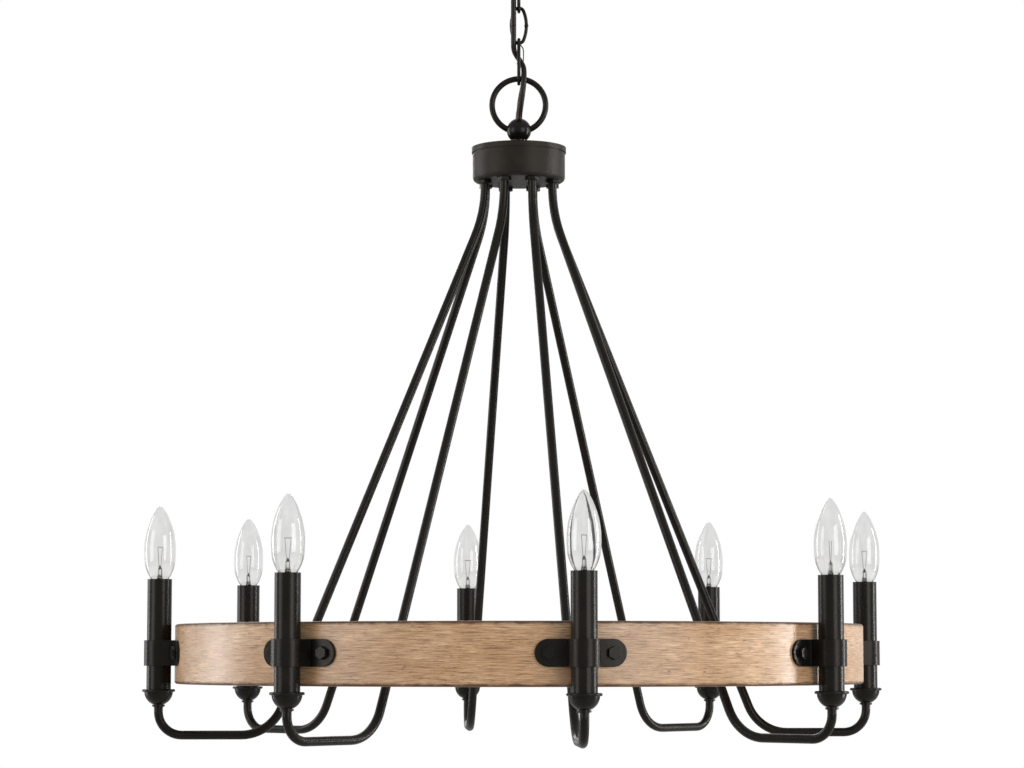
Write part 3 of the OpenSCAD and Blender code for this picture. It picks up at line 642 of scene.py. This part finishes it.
# %% Place the eight bulbs
for i in range(ARMS):
    number = str(i + 1)
    bulb = new_object("glass_" + number, skin, *([glass] if i == 0 else []))
    bulb.location = candle_axis(i) + Vector((0, 0, RIM_Z))
    bulb.rotation_euler = (0, 0, arm_angle(i))
    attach(bulb, "bulb_" + number)
    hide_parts("bulb_glass_" + number)
print(ARMS, "bulbs share a skin of", len(skin.polygons), "faces")

# %% [markdown]
# A bulb stops turning where its contact meets the socket's, so its filament may face any way.
# The CAD bases all face along their arms. Here each is copied and turned about its own axis.
# What is too fine for the CAD is added: the dark bead that pinches the two wires in the stem,
# and the small bends of the wires below it.

# %% Turn the filaments, add bead and bends
FILAMENT_FACES = [40, 62, 30, -25, 15, -40, 50, -15]
BEND_RADIUS = 0.0004
BEAD = [(0, 89.6), (0.5, 90.1), (0.85, 91.6), (0.65, 93.4), (0, 94.4)]
WIRE_BENDS = [(-2.4, 0.3, 83.3), (-1.4, 0, 82.2), (-0.3, -0.3, 83.2), (0.8, 0, 82.2),
              (2.2, 0.3, 83.0)]
bead = bmesh.new()
spin(bead, [(r / 1000, z / 1000) for r, z in BEAD], True)
bend_line = smooth([Vector(p) / 1000 for p in WIRE_BENDS], 4)
bends = tube("wire_bends", bend_line, BEND_RADIUS, 8)
bead.from_mesh(bends.data)
core = bpy.data.meshes.new("bulb_core")
bead.to_mesh(core)
bead.free()
bpy.data.objects.remove(bends)
for i, face in enumerate(FILAMENT_FACES):
    number = str(i + 1)
    axis = Matrix.Translation(candle_axis(i))
    turn = Matrix.Rotation(radians(face) - arm_angle(i), 4, "Z")
    base = new_object("base_" + number, nodes["bulb_base_" + number].data.copy())
    base.data.transform(axis @ turn @ axis.inverted())
    base.data.materials.clear()
    base.data.materials.append(nickel)
    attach(base, "bulb_" + number)
    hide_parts("bulb_base_" + number)
    inside = new_object("core_" + number, core, *([phenolic] if i == 0 else []))
    inside.location = candle_axis(i) + Vector((0, 0, RIM_Z))
    inside.rotation_euler = (0, 0, radians(face))
    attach(inside, "bulb_" + number)
print("filaments turned to", FILAMENT_FACES, "degrees")

# %% [markdown]
# Now every CAD piece gets one of the finishes. A table says which finish goes on which
# piece, by the start of its name, so a new piece can't be forgotten: the loop stops with an
# error if a name matches nothing.

# %% Finish the CAD pieces
FINISHES = [
    ("rim_half", rim_wood), ("hub_can", soft_bronze), ("hub_lid", soft_bronze),
    ("sleeve_clamps", edged_bronze), ("clamp_bolts", edged_bronze),
    ("arm_nuts", edged_bronze), ("arm_", dark_bronze), ("candle_", dark_bronze),
    ("neck_", dark_bronze), ("hanging_ring", dark_bronze), ("ring_ball", dark_bronze),
    ("chain_link", dark_bronze), ("canopy", soft_bronze), ("screw_collar", dark_bronze),
    ("crossbar", zinc), ("hub_bridge", zinc), ("socket_brackets", zinc),
    ("clamp_washers", zinc), ("clamp_nuts", zinc), ("threaded_nipple", brass),
    ("nipple_nuts", brass), ("hub_stem", brass), ("stem_nut", brass), ("cup_nuts", brass),
    ("socket_shells", brass), ("bulb_base", nickel), ("ground_screw", green_screw),
    ("lamp_sockets", phenolic), ("splice_block", block_plastic), ("socket_leads", lead_jacket),
    ("supply_cord", cord_jacket), ("earth_wire", copper), ("bulb_glass", glass)]

for name, thing in nodes.items():
    finish = next(f for start, f in FINISHES if name.startswith(start))
    thing.data.materials.clear()
    thing.data.materials.append(finish)
print("finished", len(nodes), "CAD pieces")

# %% [markdown]
# The studio has five soft lights. A dark tube shows every one of them as a stripe: a light in
# front makes the stripe near the middle of the tube, and a light at the side makes it at the
# tube's edge. The stripes in the photograph tell where its lights stood, and the glares on
# the wood agree. The lights don't show through glass, or a bulb in front of one would vanish
# in white.

# %% Soft lights
RIM_MIDDLE = (0, 0, -0.7)
SOFT_LIGHTS = {
    # name: (place, (width, height), power in watts)
    "right_light": ((3.0, 0.30, -0.5), (0.34, 2.4), 66),
    "left_light": ((-2.9, 1.05, -0.5), (0.7, 2.4), 34),
    "front_right": ((2.05, -2.6, -0.2), (1.6, 1.8), 48),
    "front_left": ((-2.75, -1.65, -0.2), (1.5, 1.8), 35),
    "back_light": ((-0.6, 3.4, 0.6), (1.5, 1.5), 22)}


def soft_light(name, place, target, size, power):
    lamp = bpy.data.lights.new(name, "AREA")
    lamp.shape = "RECTANGLE"
    lamp.size, lamp.size_y = size
    lamp.energy = power
    thing = bpy.data.objects.new(name, lamp)
    thing.location = place
    aim = Vector(target) - Vector(place)
    thing.rotation_euler = aim.to_track_quat("-Z", "Y").to_euler()
    thing.visible_transmission = False
    bpy.context.scene.collection.objects.link(thing)


for name, (place, size, power) in SOFT_LIGHTS.items():
    soft_light(name, place, RIM_MIDDLE, size, power)
print("lights:", list(SOFT_LIGHTS))

# %% [markdown]
# Round it all is a white world. The camera sees it as plain white. Gloss and glass see it a
# little greyer, so that the outline of a clear bulb stands out from the background. The light
# that it throws on matt surfaces is turned down further, so that colours come out about as
# they were set.

# %% White background
MATT_LEVEL = 0.36
MIRRORED_LEVEL = 0.86

world = bpy.data.worlds.new("studio")
bpy.context.scene.world = world
world.use_nodes = True
graph = world.node_tree
backdrop = graph.nodes["Background"]
ray = add(graph, "LightPath")
seen = maths(graph, "MAXIMUM", ray.outputs["Is Glossy Ray"], ray.outputs["Is Transmission Ray"])
level = add(graph, "MapRange", _0=seen, _3=MATT_LEVEL, _4=MIRRORED_LEVEL).outputs[0]
level = maths(graph, "MAXIMUM", level, ray.outputs["Is Camera Ray"])
backdrop.inputs["Color"].default_value = (1, 1, 1, 1)
graph.links.new(level, backdrop.inputs["Strength"])
print("world", world.name)

# %% [markdown]
# The floor is a metre below the rim, and wide enough that its far edge is out of every view.
# It glows a little for the camera alone, so it is as white as the world behind it. From below
# it is clear, because a lamp on a ceiling is mostly looked at from under it.

# %% Pale floor
FLOOR_BELOW_RIM = 1.0
FLOOR_SIZE = 40
FLOOR_GLOW = 0.7


def pale_floor():
    material, tree, shader = start_material("studio_floor", (0.80, 0.80, 0.79), 0.7)
    place = stretched(tree, (1, 1, 1))
    tree.links.new(ramp(tree, noise(tree, place, 3, 2), [(0.3, grey(0.79)), (0.7, grey(0.81))]),
                   shader.inputs["Base Color"])
    camera_ray = add(tree, "LightPath").outputs["Is Camera Ray"]
    glow = maths(tree, "MULTIPLY", camera_ray, FLOOR_GLOW)
    tree.links.new(glow, shader.inputs["Emission Strength"])
    shader.inputs["Emission Color"].default_value = (1, 1, 1, 1)
    clear = add(tree, "BsdfTransparent")
    below = add(tree, "NewGeometry").outputs["Backfacing"]
    both = add(tree, "MixShader", _0=below, _1=shader.outputs[0], _2=clear.outputs[0])
    tree.links.new(both.outputs[0], tree.nodes["Material Output"].inputs["Surface"])
    return material


bpy.ops.mesh.primitive_plane_add(size=FLOOR_SIZE, location=(0, 0, RIM_Z - FLOOR_BELOW_RIM))
floor = bpy.context.object
floor.name = "floor"
floor.data.materials.append(pale_floor())
bpy.context.scene.view_settings.view_transform = "Standard"
print("floor at", round(floor.location.z, 3))
